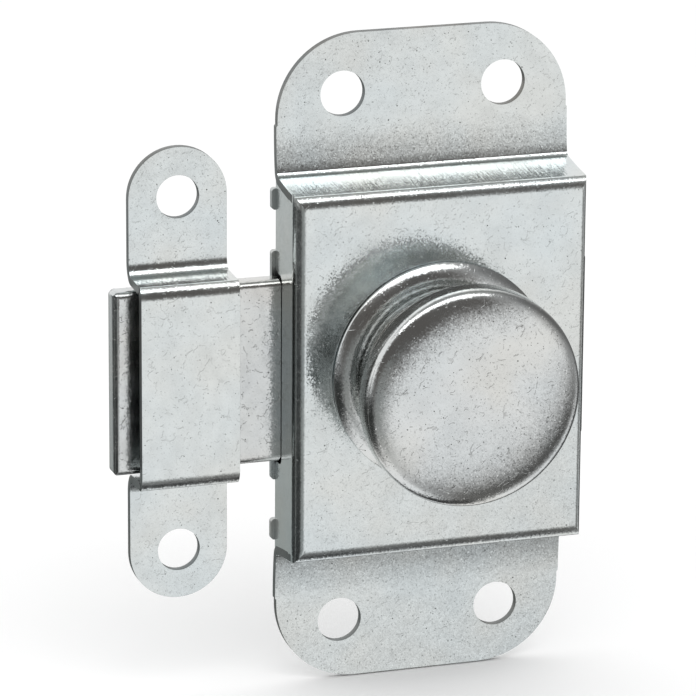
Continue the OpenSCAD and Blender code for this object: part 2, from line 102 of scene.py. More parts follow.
class Bench:
    """A mesh in the making, in millimetres as in the CAD source."""

    def __init__(self) -> None:
        """Starts an empty mesh."""
        self.bm = bmesh.new()

    def point(self, x: float, y: float, z: float) -> bmesh.types.BMVert:
        """Adds one vertex."""
        return self.bm.verts.new((x, y, z))

    def edge(self, a: bmesh.types.BMVert, b: bmesh.types.BMVert) -> bmesh.types.BMEdge:
        """Joins two vertices, or returns the edge that already does."""
        return self.bm.edges.get((a, b)) or self.bm.edges.new((a, b))

    def chain(self, verts: Sequence[bmesh.types.BMVert]) -> list[bmesh.types.BMEdge]:
        """Joins vertices in a row."""
        return [self.edge(a, b) for a, b in zip(verts, verts[1:])]

    def ends(self, edges: Sequence[bmesh.types.BMEdge]) -> list[bmesh.types.BMVert]:
        """The leftmost and the rightmost vertex of some edges."""
        verts = sorted({v for e in edges for v in e.verts}, key=lambda v: v.co.x)
        return [verts[0], verts[-1]]

    def ring(self, x: float, y: float, z: float, radius: float,
             steps: int = 64) -> list[bmesh.types.BMEdge]:
        """Adds a round edge loop in a plane of constant z.

        Args:
            x: Middle of the loop across.
            y: Middle of the loop up.
            z: Level of the loop.
            radius: Radius of the loop.
            steps: Number of its edges.

        Returns:
            The loop's edges.
        """
        made = bmesh.ops.create_circle(self.bm, cap_ends=False, segments=steps, radius=radius,
                                       matrix=Matrix.Translation((x, y, z)))
        verts = set(made["verts"])
        return [e for e in self.bm.edges if e.verts[0] in verts and e.verts[1] in verts]

    def round_corner(self, vert: bmesh.types.BMVert, radius: float, steps: int = 8) -> None:
        """Rounds one corner of a face's outline.

        Args:
            vert: The corner.
            radius: Its radius, for a square corner.
            steps: Number of edges in the arc.
        """
        bmesh.ops.bevel(self.bm, geom=[vert], offset=radius, offset_type="OFFSET",
                        segments=steps, profile=0.5, affect="VERTICES", clamp_overlap=False,
                        material=-1)

    def open_flat(self, level: float, side: int) -> list[bmesh.types.BMEdge]:
        """Takes the flat face at one level and end out of its outline.

        Args:
            level: Level of the face.
            side: 1 for the upper end and -1 for the lower one.

        Returns:
            The outline's edges.
        """
        face = next(f for f in self.bm.faces if f.calc_center_median().y * side > 0
                    and all(abs(v.co.z - level) < ON_LEVEL for v in f.verts))
        edges = list(face.edges)
        bmesh.ops.delete(self.bm, geom=[face], context="FACES_ONLY")
        return edges

    def fill(self, edges: Sequence[bmesh.types.BMEdge]) -> None:
        """Fills a flat outline, around any loops that lie inside it.

        Args:
            edges: The outline and the loops of its holes.
        """
        made = bmesh.ops.triangle_fill(self.bm, use_beauty=True, use_dissolve=False,
                                       edges=list(edges), normal=(0, 0, 1))
        faces = {g for g in made["geom"] if isinstance(g, bmesh.types.BMFace)}
        inside = [e for e in self.bm.edges
                  if len(e.link_faces) == 2 and faces.issuperset(e.link_faces)]
        bmesh.ops.dissolve_limit(self.bm, angle_limit=FLAT_TURN, verts=[], edges=inside,
                                 use_dissolve_boundaries=False)

    def fold(self, edges: Sequence[bmesh.types.BMEdge], pivot: Sequence[float],
             axis: Sequence[float], degrees: float, steps: int) -> list[bmesh.types.BMEdge]:
        """Carries edges round a bend.

        Args:
            edges: The edges where the bend starts.
            pivot: A point on the bend's axis.
            axis: Direction of the axis.
            degrees: How far the sheet turns.
            steps: Number of strips round the bend.

        Returns:
            The edges where the bend ends.
        """
        made = bmesh.ops.spin(self.bm, geom=list(edges), cent=pivot, axis=axis,
                              angle=math.radians(degrees), steps=steps)
        return [g for g in made["geom_last"] if isinstance(g, bmesh.types.BMEdge)]

    def run(self, edges: Sequence[bmesh.types.BMEdge],
            by: Sequence[float]) -> list[bmesh.types.BMEdge]:
        """Carries edges straight on.

        Args:
            edges: The edges where the straight starts.
            by: How far they go.

        Returns:
            The edges where the straight ends.
        """
        made = bmesh.ops.extrude_edge_only(self.bm, edges=list(edges))["geom"]
        verts = [g for g in made if isinstance(g, bmesh.types.BMVert)]
        bmesh.ops.translate(self.bm, verts=verts, vec=by)
        moved = set(verts)
        return [g for g in made if isinstance(g, bmesh.types.BMEdge)
                and g.verts[0] in moved and g.verts[1] in moved]

    def turn_profile(self, steps: int) -> None:
        """Spins the edges drawn in the x and z plane once round the z axis.

        Args:
            steps: Number of faces round the piece.
        """
        bmesh.ops.spin(self.bm, geom=list(self.bm.verts) + list(self.bm.edges),
                       cent=(0, 0, 0), axis=(0, 0, 1), angle=2 * math.pi, steps=steps,
                       use_merge=True)
        bmesh.ops.remove_doubles(self.bm, verts=self.bm.verts, dist=SAME_POINT)

    def face_out(self, towards: Sequence[float]) -> None:
        """Turns all faces the same way, so that the one furthest along points that way.

        Args:
            towards: Direction in which the outermost face has to point.
        """
        bmesh.ops.remove_doubles(self.bm, verts=self.bm.verts, dist=SAME_POINT)
        bmesh.ops.recalc_face_normals(self.bm, faces=self.bm.faces)
        aim = Vector(towards)
        outer = max(self.bm.faces, key=lambda f: (f.calc_center_median().dot(aim), f.calc_area()))
        if outer.normal.dot(aim) < 0:
            bmesh.ops.reverse_faces(self.bm, faces=self.bm.faces)

    def finish(self, name: str) -> bpy.types.Object:
        """Stands the mesh up in metres and makes it an object with smooth faces.

        Args:
            name: Name of the piece.

        Returns:
            The new object, at the origin.
        """
        bmesh.ops.transform(self.bm, matrix=STAND_UP, verts=self.bm.verts)
        obj = add_mesh(name, self.bm)
        faces = obj.data.polygons
        faces.foreach_set("use_smooth", [True] * len(faces))
        return obj


def sheet_wall(obj: bpy.types.Object, thickness: float) -> None:
    """Gives a surface the thickness of its sheet, behind the face that is drawn.

    The cut edges take the piece's second material, whose dark colour is partly painted shade.

    Args:
        obj: The piece.
        thickness: Thickness in millimetres.
    """
    wall = obj.modifiers.new("sheet", "SOLIDIFY")
    wall.thickness = thickness * MM
    wall.offset = -1.0
    wall.use_even_offset = True
    wall.material_offset_rim = 1


def soften(obj: bpy.types.Object, width: float, segments: int = 2, angle: float = 35.0) -> None:
    """Breaks a piece's sharp edges and keeps its flat faces flat.

    Args:
        obj: The piece.
        width: Width of the broken edge in millimetres.
        segments: Number of strips across it.
        angle: Least turn between two faces that counts as an edge, in degrees.
    """
    edge = obj.modifiers.new("edges", "BEVEL")
    edge.width = width * MM
    edge.segments = segments
    edge.limit_method = "ANGLE"
    edge.angle_limit = math.radians(angle)
    edge.profile = 0.5
    edge.use_clamp_overlap = True
    normals = obj.modifiers.new("normals", "WEIGHTED_NORMAL")
    normals.mode = "FACE_AREA"
    normals.weight = 50
    normals.keep_sharp = True


class Wiring:
    """Adds nodes to one node tree and wires them together."""

    def __init__(self, tree: bpy.types.NodeTree) -> None:
        """Empties the tree.

        Args:
            tree: The tree.
        """
        self.tree = tree
        self.tree.nodes.clear()

    def node(self, kind: str, inputs: Optional[dict[Any, Any]] = None,
             **settings: Any) -> bpy.types.Node:
        """Adds a node.

        Args:
            kind: Blender's name for the node.
            inputs: For each socket's name or number, a value or the socket that feeds it.
            **settings: The node's own settings.

        Returns:
            The node.
        """
        made = self.tree.nodes.new(kind)
        for key, value in settings.items():
            setattr(made, key, value)
        for key, value in (inputs or {}).items():
            if isinstance(value, bpy.types.NodeSocket):
                self.tree.links.new(value, made.inputs[key])
            else:
                made.inputs[key].default_value = value
        return made

    def maths(self, what: str, a: Any, b: Any = 0.0, c: Any = 0.0) -> bpy.types.NodeSocket:
        """One step of arithmetic, named as Blender names it."""
        return self.node("ShaderNodeMath", {0: a, 1: b, 2: c}, operation=what).outputs[0]


class Palette(Wiring):
    """The nodes of one material."""

    def __init__(self, name: str) -> None:
        """Starts an empty material.

        Args:
            name: Name of the material.
        """
        self.material = bpy.data.materials.new(name)
        self.material.use_nodes = True
        super().__init__(self.material.node_tree)
        self.coords = self.node("ShaderNodeTexCoord")
        self.place = self.coords.outputs["Object"]

    def stretched(self, scale: Sequence[float], turn: Sequence[float] = (0, 0, 0),
                  shift: Sequence[float] = (0, 0, 0)) -> bpy.types.NodeSocket:
        """Object coordinates, stretched, turned and shifted.

        Args:
            scale: Factor for each axis.
            turn: Turn about each axis, in degrees.
            shift: Shift along each axis.

        Returns:
            The coordinates' socket.
        """
        return self.node("ShaderNodeMapping",
                         {"Vector": self.place, "Scale": scale, "Location": shift,
                          "Rotation": [math.radians(a) for a in turn]}).outputs["Vector"]

    def noise(self, scale: float, detail: float = 2.0, rough: float = 0.5,
              place: Optional[bpy.types.NodeSocket] = None) -> bpy.types.NodeSocket:
        """Cloudy noise.

        Args:
            scale: Number of clouds in a metre.
            detail: Number of finer layers.
            rough: Weight of the finer layers.
            place: Coordinates, or the object's own where none are given.

        Returns:
            The noise, from 0 to 1.
        """
        return self.node("ShaderNodeTexNoise",
                         {"Vector": place or self.place, "Scale": scale, "Detail": detail,
                          "Roughness": rough}).outputs["Fac"]

    def ramp(self, value: bpy.types.NodeSocket, low: float, high: float, out_low: float = 0.0,
             out_high: float = 1.0) -> bpy.types.NodeSocket:
        """Maps one range to another, smoothly and with no overshoot.

        Args:
            value: What is mapped.
            low: Start of its range.
            high: End of its range.
            out_low: What the start becomes.
            out_high: What the end becomes.

        Returns:
            The mapped value.
        """
        return self.node("ShaderNodeMapRange",
                         {"Value": value, "From Min": low, "From Max": high,
                          "To Min": out_low, "To Max": out_high},
                         interpolation_type="SMOOTHSTEP", clamp=True).outputs["Result"]

    def mix(self, amount: Any, under: Any, over: Any, how: str = "MIX") -> bpy.types.NodeSocket:
        """Lays one colour over another.

        Args:
            amount: How much of the upper colour shows.
            under: The lower colour.
            over: The upper colour.
            how: Blender's name for the way they blend.

        Returns:
            The mixed colour.
        """
        colours = {6: under, 7: over}
        ready = {k: (*v, 1.0) if isinstance(v, tuple) and len(v) == 3 else v
                 for k, v in colours.items()}
        return self.node("ShaderNodeMix", {0: amount, **ready}, data_type="RGBA",
                         blend_type=how, clamp_result=True).outputs[2]

    def specks(self, scale: float, size: float, share: float) -> bpy.types.NodeSocket:
        """Small round specks scattered at random.

        Args:
            scale: Number of places for a speck in a metre.
            size: Radius of a speck, in units of the distance between places.
            share: Share of the places that hold one.

        Returns:
            1 inside a speck and 0 outside.
        """
        cells = self.node("ShaderNodeTexVoronoi", {"Vector": self.place, "Scale": scale,
                                                   "Randomness": 1.0})
        pick = self.node("ShaderNodeSeparateColor", {"Color": cells.outputs["Color"]})
        dot = self.ramp(cells.outputs["Distance"], size * 0.5, size, 1.0, 0.0)
        keep = self.maths("LESS_THAN", pick.outputs["Red"], share)
        return self.maths("MULTIPLY", dot, keep)

    def hairlines(self, scale: float, width: float, cover: float,
                  shift: float) -> bpy.types.NodeSocket:
        """Short curved scratches that run in every direction.

        Args:
            scale: Number of loops in a metre that the scratches are parts of.
            width: Width of a scratch, in units of a loop's size.
            cover: Level of a cloudy noise above which they show.
            shift: Offset in metres that sets one layer apart from another.

        Returns:
            1 inside a scratch and 0 outside.
        """
        start = self.stretched((1, 1, 1), (0, 0, 0), (shift, shift, shift))
        drift = self.node("ShaderNodeTexNoise", {"Vector": start, "Scale": scale * 1.7,
                                                 "Detail": 2.0}).outputs["Color"]
        bent = self.node("ShaderNodeVectorMath", {0: drift, 1: (0.9 / scale,) * 3, 2: start},
                         operation="MULTIPLY_ADD").outputs["Vector"]
        loops = self.node("ShaderNodeTexVoronoi", {"Vector": bent, "Scale": scale},
                          feature="DISTANCE_TO_EDGE").outputs["Distance"]
        line = self.ramp(loops, width * 0.4, width, 1.0, 0.0)
        where = self.ramp(self.noise(scale * 3.1, 2.0, 0.5, start), cover, cover + 0.05)
        return self.maths("MULTIPLY", line, where)

    def grit(self, scale: float, tilt: float, tail: float) -> bpy.types.NodeSocket:
        """The surface's normal, tipped a little at random in each grain of the plating.

        Args:
            scale: Number of grains in a metre.
            tilt: How far a common grain tips.
            tail: How much further the rare ones tip.

        Returns:
            The tipped normal.
        """
        grains = self.node("ShaderNodeTexVoronoi", {"Vector": self.place, "Scale": scale})
        lean = self.node("ShaderNodeVectorMath", {0: grains.outputs["Color"], 1: (0.5,) * 3},
                         operation="SUBTRACT").outputs["Vector"]
        size = self.node("ShaderNodeVectorMath", {0: lean, 1: lean},
                         operation="DOT_PRODUCT").outputs["Value"]
        rare = self.maths("POWER", size, 3.0)
        reach = self.maths("MULTIPLY_ADD", rare, tail, tilt)
        tips = self.node("ShaderNodeVectorMath", {0: lean}, operation="SCALE")
        self.tree.links.new(reach, tips.inputs["Scale"])
        normal = self.node("ShaderNodeNewGeometry").outputs["Normal"]
        both = self.node("ShaderNodeVectorMath", {0: tips.outputs["Vector"], 1: normal},
                         operation="ADD").outputs["Vector"]
        return self.node("ShaderNodeVectorMath", {0: both},
                         operation="NORMALIZE").outputs["Vector"]

    def close(self, surface: bpy.types.NodeSocket) -> bpy.types.Material:
        """Wires the surface to the output and returns the material."""
        self.node("ShaderNodeOutputMaterial", {"Surface": surface})
        return self.material


@dataclass(frozen=True)
class Metal:
    """A bare or plated metal with grain, pits, scratches and tinted patches.

    A scale is a number of marks in a metre. A layer of pits has its scale, the size of a pit and
    its share of `pits`. A layer of lines has what `hairlines` takes. `relief` is in metres.
    """

    name: str
    colour: Colour
    warm: Colour
    cool: Colour
    rough: float = 0.24
    rough_spread: float = 0.10
    grain: float = 0.5
    grain_scale: float = 7000.0
    tilt: float = 0.044
    tail: float = 0.40
    pits: float = 0.28
    scratches: float = 0.5
    marks: Marks = Marks.NONE
    mark_depth: float = 1.5
    patch_scale: float = 85.0
    cloud_scale: float = 620.0
    cloud_dark: float = 0.95
    coarse_scale: float = 1500.0
    pit_layers: tuple[tuple[float, float, float], ...] = ((900.0, 0.09, 1.0), (2300.0, 0.15, 0.4))
    line_layers: tuple[tuple[float, float, float, float], ...] = (
        (270.0, 0.018, 0.55, 0.0), (410.0, 0.022, 0.56, 0.37))
    pit_tone: Colour = (0.16, 0.16, 0.15)
    line_tone: Colour = (0.34, 0.34, 0.33)
    relief: float = 0.00004

    def material(self) -> bpy.types.Material:
        """Builds the material.

        Returns:
            The material.
        """
        p = Palette(self.name)
        patch = p.noise(self.patch_scale, 2.0, 0.5)
        tint = p.mix(p.ramp(patch, 0.46, 0.66), self.colour, self.warm)
        tint = p.mix(p.ramp(patch, 0.50, 0.32), tint, self.cool)
        cloud = p.noise(self.cloud_scale, 3.0, 0.6)
        shade = p.ramp(cloud, 0.3, 0.7, self.cloud_dark, 1.0)
        tint = p.mix(1.0, tint, p.node("ShaderNodeCombineColor", {
            "Red": shade, "Green": shade, "Blue": shade}).outputs[0], "MULTIPLY")
        coarse = p.noise(self.coarse_scale, 2.0, 0.5)
        pits = [p.specks(scale, size, self.pits * share) for scale, size, share in self.pit_layers]
        spots = p.maths("MAXIMUM", *pits)
        lines = p.maths("MAXIMUM", *(p.hairlines(*layer) for layer in self.line_layers))
        lines = p.maths("MULTIPLY", lines, self.scratches)
        tint = p.mix(p.maths("MULTIPLY", spots, 0.75), tint, self.pit_tone)
        tint = p.mix(p.maths("MULTIPLY", lines, 0.5), tint, self.line_tone)
        low = self.rough - self.rough_spread
        high = self.rough + self.rough_spread
        rough = p.ramp(p.noise(300.0, 3.0, 0.6), 0.3, 0.7, low, high)
        rough = p.maths("MAXIMUM", rough, p.maths("MULTIPLY", spots, 0.6))
        height = p.maths("SUBTRACT", p.maths("MULTIPLY", coarse, 0.35),
                         p.maths("MULTIPLY", spots, 0.8))
        height = p.maths("SUBTRACT", height, p.maths("MULTIPLY", lines, 0.5))
        height = self.tool_marks(p, height)
        bump = p.node("ShaderNodeBump", {
            "Height": height, "Strength": self.grain, "Distance": self.relief,
            "Normal": p.grit(self.grain_scale, self.tilt, self.tail)})
        surface = p.node("ShaderNodeBsdfPrincipled", {
            "Base Color": tint, "Roughness": rough, "Metallic": 1.0,
            "Normal": bump.outputs["Normal"]})
        return p.close(surface.outputs[0])

    def tool_marks(self, p: Palette, height: bpy.types.NodeSocket) -> bpy.types.NodeSocket:
        """Adds the finish's tool marks to its height.

        Args:
            p: The material's nodes.
            height: The height so far.

        Returns:
            The height with the marks.
        """
        scale, depth = self.marks.value, self.mark_depth
        if self.marks is Marks.DRAWN:
            split = p.node("ShaderNodeSeparateXYZ", {"Vector": p.coords.outputs["Normal"]})
            steep = p.ramp(p.maths("ABSOLUTE", split.outputs["Z"]), 0.3, 0.8)
            streaks = p.noise(scale, 1.0, 0.5, p.stretched((1.0, 0.07, 0.07), (0, 16, 0)))
            streaks = p.maths("MULTIPLY", streaks, p.maths("MULTIPLY", steep, depth))
            return p.maths("ADD", height, streaks)
        if self.marks is Marks.GROUND:
            streaks = p.noise(scale, 2.0, 0.6, p.stretched((0.06, 1.0, 1.0)))
            return p.maths("MULTIPLY_ADD", streaks, depth, height)
        if self.marks is Marks.TURNED:
            split = p.node("ShaderNodeSeparateXYZ", {"Vector": p.place})
            flat = p.node("ShaderNodeCombineXYZ", {"X": split.outputs["X"],
                                                   "Z": split.outputs["Z"]})
            radius = p.node("ShaderNodeVectorMath", {0: flat.outputs[0]}, operation="LENGTH")
            groove = p.node("ShaderNodeCombineXYZ", {"X": radius.outputs["Value"],
                                                     "Y": split.outputs["Y"]})
            rings = p.noise(scale, 1.0, 0.5, groove.outputs[0])
            return p.maths("MULTIPLY_ADD", rings, depth, height)
        return height


SHEET_ZINC = Metal("sheet_zinc", (0.715, 0.752, 0.750), (0.727, 0.746, 0.728),
                   (0.690, 0.740, 0.750), rough=0.15, rough_spread=0.04, pits=0.22, scratches=0.36,
                   marks=Marks.DRAWN)
KNOB_ZINC = Metal("knob_zinc", (0.710, 0.728, 0.724), (0.716, 0.718, 0.692),
                  (0.686, 0.716, 0.722), rough=0.14, rough_spread=0.04, tilt=0.050, tail=0.58,
                  pits=0.45, scratches=0.7)
BAR_ZINC = Metal("bar_zinc", (0.672, 0.690, 0.685), (0.680, 0.672, 0.650),
                 (0.640, 0.664, 0.674), rough=0.17, rough_spread=0.05, pits=0.5, scratches=0.8)
# Cut edges: bare steel, rougher and a little darker than the plating, then darkened much further
# as painted shade for the dark outline that the thin edges show.
CUT_ZINC_AND_SHADE = Metal("cut_zinc_and_painted_shade", (0.17, 0.182, 0.18), (0.19, 0.185, 0.17), (0.15, 0.17, 0.175),
                 rough=0.36, rough_spread=0.06, pits=0.6, scratches=0.2)
REAR_ZINC = Metal("rear_zinc", (0.52, 0.55, 0.55), (0.54, 0.54, 0.51), (0.49, 0.53, 0.55),
                  rough=0.34)
INNER_STEEL = Metal("inner_steel", (0.48, 0.50, 0.52), (0.50, 0.48, 0.45), (0.43, 0.46, 0.50),
                    rough=0.30, marks=Marks.GROUND)
RIVET_ZINC = Metal("rivet_zinc", (0.62, 0.64, 0.64), (0.64, 0.63, 0.60), (0.58, 0.61, 0.63),
                   rough=0.26)
SPRING_BLUE = Metal("spring_blue", (0.30, 0.35, 0.45), (0.38, 0.34, 0.36), (0.20, 0.27, 0.42),
                    rough=0.28, marks=Marks.GROUND)
TURNED_BRASS = Metal("turned_brass", (0.78, 0.62, 0.33), (0.80, 0.58, 0.28), (0.74, 0.63, 0.38),
                     rough=0.24, marks=Marks.TURNED)


def dress_sheet(obj: bpy.types.Object, thickness: float, edge: float = 0.18) -> None:
    """Gives a pressing its sheet thickness, its edges and its finish.

    Args:
        obj: The piece.
        thickness: Thickness of the sheet in millimetres.
        edge: Width of its broken edges in millimetres.
    """
    sheet_wall(obj, thickness)
    soften(obj, edge, 3)
    obj.data.materials.append(SHEET_ZINC.material())
    # The rims take the cut-edge metal, which is darkened partly with painted shade.
    obj.data.materials.append(CUT_ZINC_AND_SHADE.material())


@dataclass
class Fold:
    """How a raised strap comes down to its flange.

    Each bend is a radius and the angle at which it ends, measured from the raised face. The sheet
    turns over the upper bends, eases back a little along the slope, and comes into the flange
    through the lower bends, the last of them long and faint.
    """

    depth: float
    upper: tuple[tuple[float, float], ...]
    ease: float
    lower: tuple[tuple[float, float], ...]
    sheet: float = 1.0
    step: float = 5.0
    least_steps: int = 4

    def bends(self) -> list[tuple[float, float, float]]:
        """Lists the bends from the raised face down.

        Returns:
            Each bend's radius, negative where it is hollow, and the angles at its ends.
        """
        full, hollow, angle = [], [], 0.0
        for radius, end in self.upper:
            full.append((radius, angle, end))
            angle = end
        foot = start = angle - self.ease
        for radius, end in self.lower:
            hollow.append((-radius, start, end))
            start = end
        left = self.depth - self.sheet - sum(self.drop(*bend) for bend in full + hollow)
        slope = left / (math.cos(math.radians(foot)) - math.cos(math.radians(angle)))
        return [*full, (-slope, angle, foot), *hollow]

    @staticmethod
    def drop(radius: float, start: float, end: float) -> float:
        """How far down one bend goes."""
        return radius * (math.cos(math.radians(start)) - math.cos(math.radians(end)))

    def reach_at(self, drop: float) -> float:
        """How far out the sheet is at one level.

        Args:
            drop: Distance below the raised face.

        Returns:
            Distance from where the upper bend starts.
        """
        out = done = 0.0
        for radius, start, end in self.bends():
            here = math.radians(start)
            if done + self.drop(radius, start, end) >= drop:
                turned = math.acos(math.cos(here) - (drop - done) / radius)
                return out + radius * (math.sin(turned) - math.sin(here))
            out += radius * (math.sin(math.radians(end)) - math.sin(here))
            done += self.drop(radius, start, end)
        return out

    def lay(self, bench: Bench, edges: Sequence[bmesh.types.BMEdge], start: float,
            side: int) -> list[bmesh.types.BMEdge]:
        """Lays the fold from the raised face's edge down to the flange.

        Args:
            bench: The mesh in the making.
            edges: The raised face's end edge.
            start: Distance from the middle to that edge.
            side: 1 for the upper end and -1 for the lower one.

        Returns:
            The edge where the flat flange starts.
        """
        spot = Vector((start, self.depth))
        for radius, first, last in self.bends():
            a, b = math.radians(first), math.radians(last)
            pivot = spot - radius * Vector((math.sin(a), math.cos(a)))
            steps = max(self.least_steps, math.ceil(abs(last - first) / self.step))
            edges = bench.fold(edges, (0, side * pivot.x, pivot.y), (1, 0, 0),
                               side * (first - last), steps)
            spot = pivot + radius * Vector((math.sin(b), math.cos(b)))
        return edges


@dataclass
class CasePressing:
    """The pressed case: face, folded ends with flanges, and side walls with the bolt's slots."""

    width: float = 36.3
    flange_width: float = 36.0
    height: float = 80.0
    flange_corner: float = 10.0
    face_half: float = 20.9
    sheet: float = 1.0
    hole_radius: float = 2.75
    hole_x: float = 10.0
    hole_y: float = 32.75
    bush_hole: float = 5.0
    wall_back: float = 0.85
    slit_start: float = 20.7
    wall_end: float = 21.6
    wall_low: float = 22.712
    slot_half: float = 11.7
    slot_front: float = 3.4
    slot_corner: float = 0.9
    tab: tuple[float, float] = (14.4, 18.99)
    tab_lean: float = 0.4
    left_bend: float = 1.4
    right_bend: float = 0.8
    bend_steps: int = 14
    corner_steps: int = 24
    fold: Fold = field(default_factory=lambda: Fold(
        8.6, ((2.0, 45.0), (0.6, 84.5)), 5.5,
        ((0.4, 42.0), (1.3, 28.0), (0.6, 10.0), (14.0, 6.0), (42.0, 0.0))))

    def side_bend(self, side: int) -> float:
        """Outside radius of the bend into the right (1) or left (-1) side wall."""
        return self.right_bend if side > 0 else self.left_bend

    def face_x(self, side: int) -> float:
        """Distance from the middle to the flat face's right (1) or left (-1) edge."""
        return self.width / 2 - self.side_bend(side)

    def face_outline(self, bench: Bench) -> list[bmesh.types.BMVert]:
        """Draws the flat face's outline, with a point at the start of each slit.

        Args:
            bench: The mesh in the making.

        Returns:
            The outline's vertices, anticlockwise from the lower right.
        """
        right, left, z = self.face_x(1), -self.face_x(-1), self.fold.depth
        heights = (-self.face_half, -self.slit_start, self.slit_start, self.face_half)
        spots = [(right, y) for y in heights] + [(left, y) for y in reversed(heights)]
        return [bench.point(a, b, z) for a, b in spots]

    def mitre(self, bench: Bench) -> None:
        """Draws the ends of the bends out to the lines on which they meet.

        Args:
            bench: The mesh in the making.
        """
        for v in bench.bm.verts:
            side = 1 if v.co.x > 0 else -1
            x, out = self.face_x(side), self.side_bend(side)
            across = abs(v.co.x) - x
            up = abs(v.co.y) - self.face_half
            drop = self.fold.depth - v.co.z
            if abs(across) < ON_LINE < up:
                rest = max(out - drop, 0.0)
                v.co.x = side * (x + math.sqrt(out * out - rest * rest))
            elif abs(up) < ON_LINE < across:
                v.co.y = math.copysign(self.face_half + self.fold.reach_at(drop), v.co.y)
            elif abs(abs(v.co.y) - self.slit_start) < ON_LINE < across:
                lean = (self.wall_end - self.slit_start) * drop / out
                v.co.y = math.copysign(self.slit_start + lean, v.co.y)

    def flange(self, bench: Bench, edges: Sequence[bmesh.types.BMEdge], side: int) -> None:
        """Fills one flange round its two screw holes.

        Args:
            bench: The mesh in the making.
            edges: The edge where the flange starts.
            side: 1 for the upper flange and -1 for the lower one.
        """
        left, right = bench.ends(edges)
        half, top, z = self.flange_width / 2, self.height / 2, self.sheet
        step = abs(right.co.y) + self.width / 2 - half
        low_right = bench.point(half, side * step, z)
        top_right = bench.point(half, side * top, z)
        top_left = bench.point(-half, side * top, z)
        low_left = bench.point(-half, side * step, z)
        bench.bm.faces.new([left, right, low_right, top_right, top_left, low_left])
        for corner in (top_right, top_left):
            bench.round_corner(corner, self.flange_corner, self.corner_steps)
        outline = bench.open_flat(self.sheet, side)
        for x in (-self.hole_x, self.hole_x):
            outline += bench.ring(x, side * self.hole_y, z, self.hole_radius)
        bench.fill(outline)

    def side_wall(self, bench: Bench, edge: bmesh.types.BMEdge, side: int) -> None:
        """Draws one side wall with its slot and its crimped tabs.

        Args:
            bench: The mesh in the making.
            edge: The edge where the wall starts, under the bend.
            side: 1 for the right wall and -1 for the left one.
        """
        low, high = sorted(edge.verts, key=lambda v: v.co.y)
        x, back = side * self.width / 2, self.wall_back
        half = [(self.wall_low, back), (self.tab[1], back), (self.tab[0], back),
                (self.slot_half, back), (self.slot_half, self.slot_front)]
        upper = [bench.point(x, y, z) for y, z in half]
        lower = [bench.point(x, -y, z) for y, z in half]
        bench.bm.faces.new([high, *upper, *reversed(lower), low])
        tabs = [bench.edge(upper[1], upper[2]), bench.edge(lower[1], lower[2])]
        bench.run(tabs, (-side * self.tab_lean, 0, -back))
        for corner in (upper[3], upper[4], lower[3], lower[4]):
            bench.round_corner(corner, self.slot_corner)

    def build(self) -> bpy.types.Object:
        """Builds the pressing.

        Returns:
            The piece.
        """
        bench = Bench()
        verts = self.face_outline(bench)
        rim = bench.chain(verts + verts[:1])
        right, top, left, bottom = rim[0:3], rim[3:4], rim[4:7], rim[7:8]
        flanges = [(self.fold.lay(bench, top, self.face_half, 1), 1),
                   (self.fold.lay(bench, bottom, self.face_half, -1), -1)]
        walls = []
        for edges, side in ((right, 1), (left, -1)):
            pivot = (side * self.face_x(side), 0, self.fold.depth - self.side_bend(side))
            bent = bench.fold(edges, pivot, (0, 1, 0), side * 90, self.bend_steps)
            middle = min(bent, key=lambda e: abs(e.verts[0].co.y + e.verts[1].co.y))
            walls.append((middle, side))
        self.mitre(bench)
        for edges, side in flanges:
            self.flange(bench, edges, side)
        for edge, side in walls:
            self.side_wall(bench, edge, side)
        bench.fill(rim + bench.ring(0, 0, self.fold.depth, self.bush_hole))
        bench.face_out((0, 0, 1))
        return bench.finish("case_pressing")

    def dress(self, obj: bpy.types.Object) -> None:
        """Dresses the pressing and puts it in its node's place.

        Args:
            obj: The piece.
        """
        dress_sheet(obj, self.sheet)
        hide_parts("case_shell")
        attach(obj, "case")


@dataclass
class KeeperStrap:
    """The pressed strap that the bolt runs into."""

    x: float = -30.2
    width: float = 12.0
    height: float = 55.5
    flat: float = 10.83
    sheet: float = 1.0
    hole_radius: float = 2.6
    hole_y: float = 21.75
    corner_steps: int = 20
    corner_gap: float = 0.02
    fold: Fold = field(default_factory=lambda: Fold(
        6.4, ((2.1, 45.0), (0.5, 88.0)), 2.0, ((0.4, 42.0), (2.0, 0.0))))

    def flange(self, bench: Bench, edges: Sequence[bmesh.types.BMEdge], side: int) -> None:
        """Fills one round-ended flange round its screw hole.

        Args:
            bench: The mesh in the making.
            edges: The edge where the flange starts.
            side: 1 for the upper flange and -1 for the lower one.
        """
        left, right = bench.ends(edges)
        top_right = bench.point(right.co.x, side * self.height / 2, self.sheet)
        top_left = bench.point(left.co.x, side * self.height / 2, self.sheet)
        bench.bm.faces.new([left, right, top_right, top_left])
        for corner in (top_right, top_left):
            bench.round_corner(corner, self.width / 2 - self.corner_gap, self.corner_steps)
        outline = bench.open_flat(self.sheet, side)
        outline += bench.ring(self.x, side * self.hole_y, self.sheet, self.hole_radius)
        bench.fill(outline)

    def build(self) -> bpy.types.Object:
        """Builds the strap.

        Returns:
            The piece.
        """
        bench = Bench()
        half, z = self.width / 2, self.fold.depth
        spots = [(1, -1), (1, 1), (-1, 1), (-1, -1)]
        verts = [bench.point(self.x + a * half, b * self.flat, z) for a, b in spots]
        bench.bm.faces.new(verts)
        top = [bench.edge(verts[1], verts[2])]
        bottom = [bench.edge(verts[3], verts[0])]
        for edges, side in ((top, 1), (bottom, -1)):
            self.flange(bench, self.fold.lay(bench, edges, self.flat, side), side)
        bench.face_out((0, 0, 1))
        return bench.finish("keeper_pressing")

    def dress(self, obj: bpy.types.Object) -> None:
        """Dresses the strap and puts it in its node's place.

        Args:
            obj: The piece.
        """
        dress_sheet(obj, self.sheet)
        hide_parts("keeper_strap")
        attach(obj, "case")


